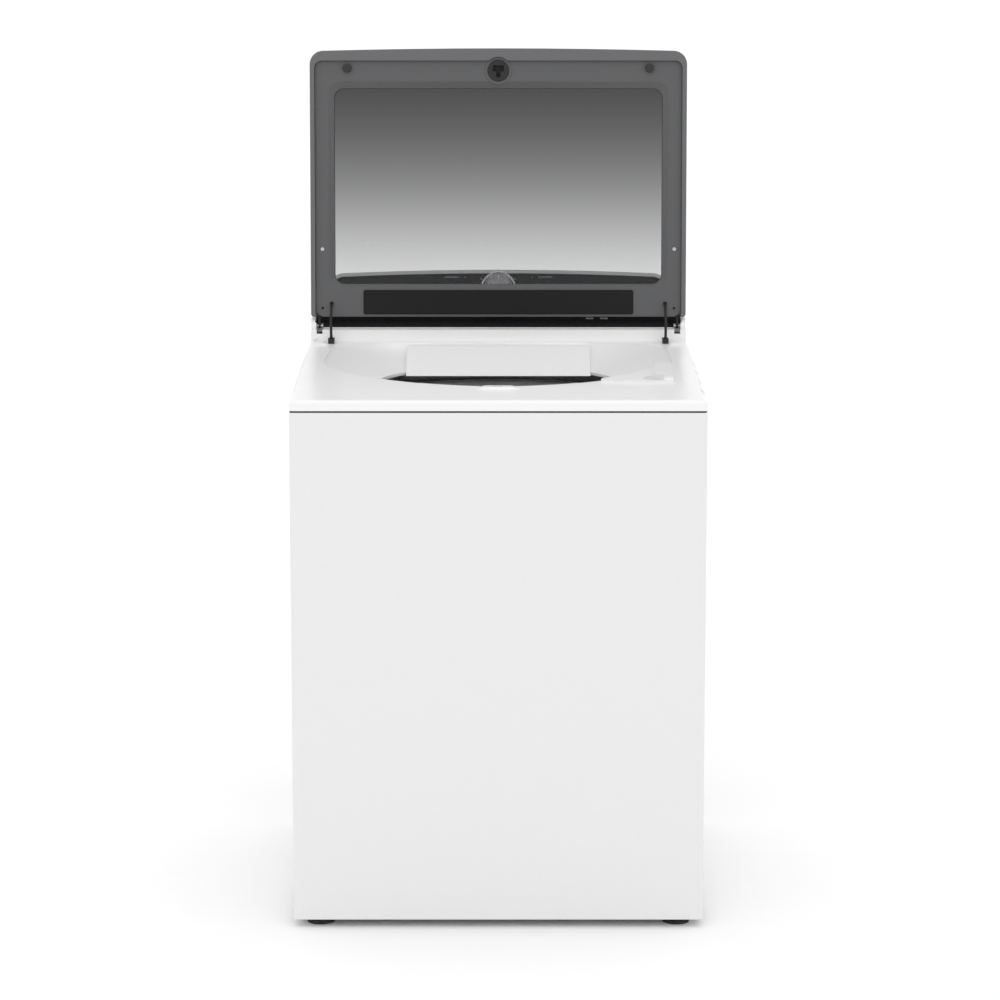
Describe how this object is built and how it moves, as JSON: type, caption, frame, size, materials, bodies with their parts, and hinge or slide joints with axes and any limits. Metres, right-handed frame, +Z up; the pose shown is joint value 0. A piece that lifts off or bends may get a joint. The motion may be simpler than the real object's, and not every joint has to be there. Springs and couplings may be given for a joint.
{
  "type": "top load washing machine",
  "caption": "Top load washing machine with a glass hinged lid, rear console with cycle knob, hanging tub, spinning basket and impeller.",
  "frame": {"origin": "on the floor below the middle of the machine", "axes": "+Z up, -Y to the front, +X to the right as seen from the front"},
  "size_m": [0.6984, 0.708, 1.4783],
  "materials": {
    "cabinet_white": "semi-gloss enamel",
    "deck_white": "moulded, semi-gloss",
    "lid_grey": "fine grain moulded grey",
    "lid_shell_grey": "smooth grey",
    "smoked_glass": "tempered, grey tint",
    "console_black": "gloss black",
    "plate_black": "satin black",
    "rubber_black": "matt rubber",
    "chrome": "polished",
    "knob_silver": "spun metal",
    "button_grey": "satin",
    "black_steel": "black oxide",
    "zinc_steel": "zinc plated",
    "basket_steel": "brushed stainless",
    "ring_grey": "pale grey moulded",
    "tub_plastic": "glass filled moulded",
    "dark_plastic": "moulded",
    "impeller_grey": "moulded",
    "cast_alloy": "as cast",
    "motor_black": "enamel",
    "board_green": "solder mask",
    "hose_grey": "ribbed",
    "valve_white": "nylon"
  },
  "bodies": {
    "cabinet": {"base_frame": "zinc_steel", "bleach_cup": "deck_white", "cabinet_wrapper": "cabinet_white", "console_back_cover": "zinc_steel", "console_face": "console_black", "console_housing": "deck_white", "control_board": "board_green", "corner_brackets": "zinc_steel", "deck_seal_strip": "rubber_black", "drain_hose": "hose_grey", "drain_port": "dark_plastic", "drain_pump": "valve_white", "fill_hood": "deck_white", "foot_pads": "rubber_black", "foot_studs": "zinc_steel", "hinge_pins": "zinc_steel", "inlet_hose": "hose_grey", "inlet_valve": "valve_white", "knob_bezel": "chrome", "lid_lock": "dark_plastic", "lid_lock_bezel": "deck_white", "power_cord_gland": "rubber_black", "rear_panel": "zinc_steel", "stay_grommets": "dark_plastic", "sump_bellows": "rubber_black", "suspension_caps": "dark_plastic", "suspension_rods": "zinc_steel", "suspension_springs": "zinc_steel", "top_deck": "deck_white"},
    "lid": {"lid_outer_shell": "lid_shell_grey", "lid_inner_frame": "lid_grey", "lid_glass": "smoked_glass", "lid_plate": "plate_black", "lid_strike": "dark_plastic", "lid_bumpers": "rubber_black", "lid_screws": "zinc_steel", "lid_hinge_arms": "black_steel", "lid_stay_rods": "black_steel"},
    "lock_bolt": {"lid_lock_bolt": "zinc_steel"},
    "knob": {"cycle_knob": "knob_silver"},
    "options_key": {"options_button": "button_grey"},
    "power_key": {"power_button": "button_grey"},
    "start_key": {"start_button": "button_grey"},
    "tub": {"outer_tub": "tub_plastic", "tub_ring": "dark_plastic", "tub_bearings": "chrome", "tub_seal": "rubber_black", "tub_cradle": "zinc_steel", "gearcase": "cast_alloy", "motor": "motor_black", "drive_belt": "rubber_black"},
    "wash_basket": {"basket": "basket_steel", "balance_ring": "ring_grey", "basket_hub": "cast_alloy", "spin_tube": "zinc_steel"},
    "agitator": {"impeller": "impeller_grey", "impeller_cap": "impeller_grey", "drive_shaft": "zinc_steel"},
    "large_pulley": {"drive_pulley": "cast_alloy"},
    "rotor": {"motor_rotor": "zinc_steel"}
  },
  "joints": [
    {"name": "lid_hinge", "type": "hinge", "parent": "cabinet", "child": "lid", "pos_m": [0, 0.2175, 0.97], "axis": [1, 0, 0], "range_deg": [0, 96.5]},
    {"name": "lock_slide", "type": "slide", "parent": "cabinet", "child": "lock_bolt", "axis": [0, 0, 1], "range_m": [0, 0.0098]},
    {"name": "knob_turn", "type": "hinge", "parent": "cabinet", "child": "knob", "pos_m": [0, 0.26147, 1.03509], "axis": [0, -0.8936, 0.4489], "continuous": true},
    {"name": "options_press", "type": "slide", "parent": "cabinet", "child": "options_key", "axis": [0, 0.8936, -0.4489], "range_m": [0, 0.0012], "stiffness_N_per_m": 400, "springref_m": -0.001},
    {"name": "power_press", "type": "slide", "parent": "cabinet", "child": "power_key", "axis": [0, 0.8936, -0.4489], "range_m": [0, 0.0012], "stiffness_N_per_m": 400, "springref_m": -0.001},
    {"name": "start_press", "type": "slide", "parent": "cabinet", "child": "start_key", "axis": [0, 0.8936, -0.4489], "range_m": [0, 0.0012], "stiffness_N_per_m": 400, "springref_m": -0.001},
    {"name": "tub_bounce", "type": "slide", "parent": "cabinet", "child": "tub", "axis": [0, 0, 1], "range_m": [-0.025, 0.01], "stiffness_N_per_m": 10000, "springref_m": 0.05185, "deforming": ["suspension_springs", "sump_bellows"]},
    {"name": "basket_spin", "type": "hinge", "parent": "tub", "child": "wash_basket", "pos_m": [0, -0.024, 0.5], "axis": [0, 0, 1], "continuous": true},
    {"name": "impeller_turn", "type": "hinge", "parent": "wash_basket", "child": "agitator", "pos_m": [0, -0.024, 0.35], "axis": [0, 0, 1], "continuous": true},
    {"name": "pulley_spin", "type": "hinge", "parent": "tub", "child": "large_pulley", "pos_m": [0, -0.024, 0.132], "axis": [0, 0, 1], "continuous": true},
    {"name": "motor_spin", "type": "hinge", "parent": "tub", "child": "rotor", "pos_m": [0.15, 0.093, 0.132], "axis": [0, 0, 1], "continuous": true}
  ],
  "couplings": [
    {"joint": "pulley_spin", "follows": "basket_spin", "ratio": 1},
    {"joint": "motor_spin", "follows": "basket_spin", "ratio": 5}
  ]
}
